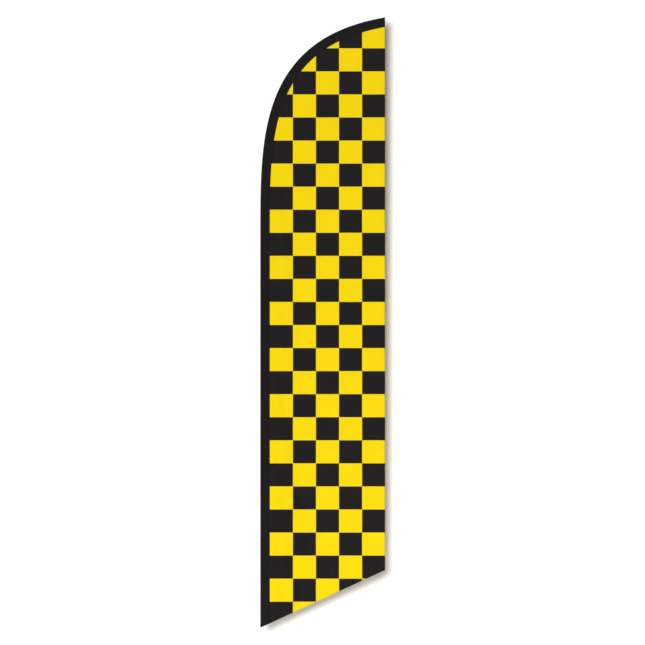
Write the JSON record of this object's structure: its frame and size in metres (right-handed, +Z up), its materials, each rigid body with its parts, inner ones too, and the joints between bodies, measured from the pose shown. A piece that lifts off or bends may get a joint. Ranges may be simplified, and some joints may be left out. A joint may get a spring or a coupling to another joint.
{
  "type": "feather flag with pole",
  "caption": "Tall feather-shaped checkered flag with a black pole sleeve on a bent sectional pole that turns on a spindle socket.",
  "frame": {"origin": "on the pole's axis, at the lower face of the swivel socket's flange", "axes": "+Z up along the pole, +X toward the flag's straight fly edge, -Y toward the front of the flag"},
  "size_m": [0.7164, 0.0369, 3.5052],
  "materials": {
    "aluminium": "satin",
    "zinc_steel": "satin",
    "brass": "satin",
    "black_nylon": "satin",
    "fibreglass": "satin",
    "rubber": "matte",
    "black_cloth": "matte",
    "yellow_cloth": "matte",
    "webbing": "matte"
  },
  "bodies": {
    "base_socket": {"swivel_socket": "zinc_steel", "thrust_washer": "brass", "socket_circlip": "zinc_steel"},
    "flag_and_pole": {"swivel_housing": "aluminium", "housing_plug": "black_nylon", "plug_rivet_front": "zinc_steel", "plug_rivet_back": "zinc_steel", "lower_pole_tube": "aluminium", "pole_collar": "black_nylon", "snap_button_spring": "zinc_steel", "middle_pole_tube": "aluminium", "reducer_bush": "black_nylon", "upper_pole": "fibreglass", "tip_ferrule": "zinc_steel", "tip_pole": "fibreglass", "tip_cap": "rubber", "pole_sleeve": "black_cloth", "tip_pocket": "webbing", "flag_panel": "yellow_cloth", "fly_hem": "yellow_cloth", "bottom_hem": "yellow_cloth", "sleeve_grommet": "brass", "grommet_washer": "brass", "flag_screw": "zinc_steel", "threaded_insert": "brass"},
    "lock_button": {"snap_button": "zinc_steel"}
  },
  "joints": [
    {"name": "flag_swivel", "type": "hinge", "parent": "base_socket", "child": "flag_and_pole", "pos_m": [0, 0, 0], "axis": [0, 0, 1], "continuous": true},
    {"name": "button_press", "type": "slide", "parent": "flag_and_pole", "child": "lock_button", "axis": [-1, 0, 0], "range_m": [0, 0.0032], "stiffness_N_per_m": 1500, "springref_m": -0.004, "deforming": ["snap_button_spring"]}
  ]
}
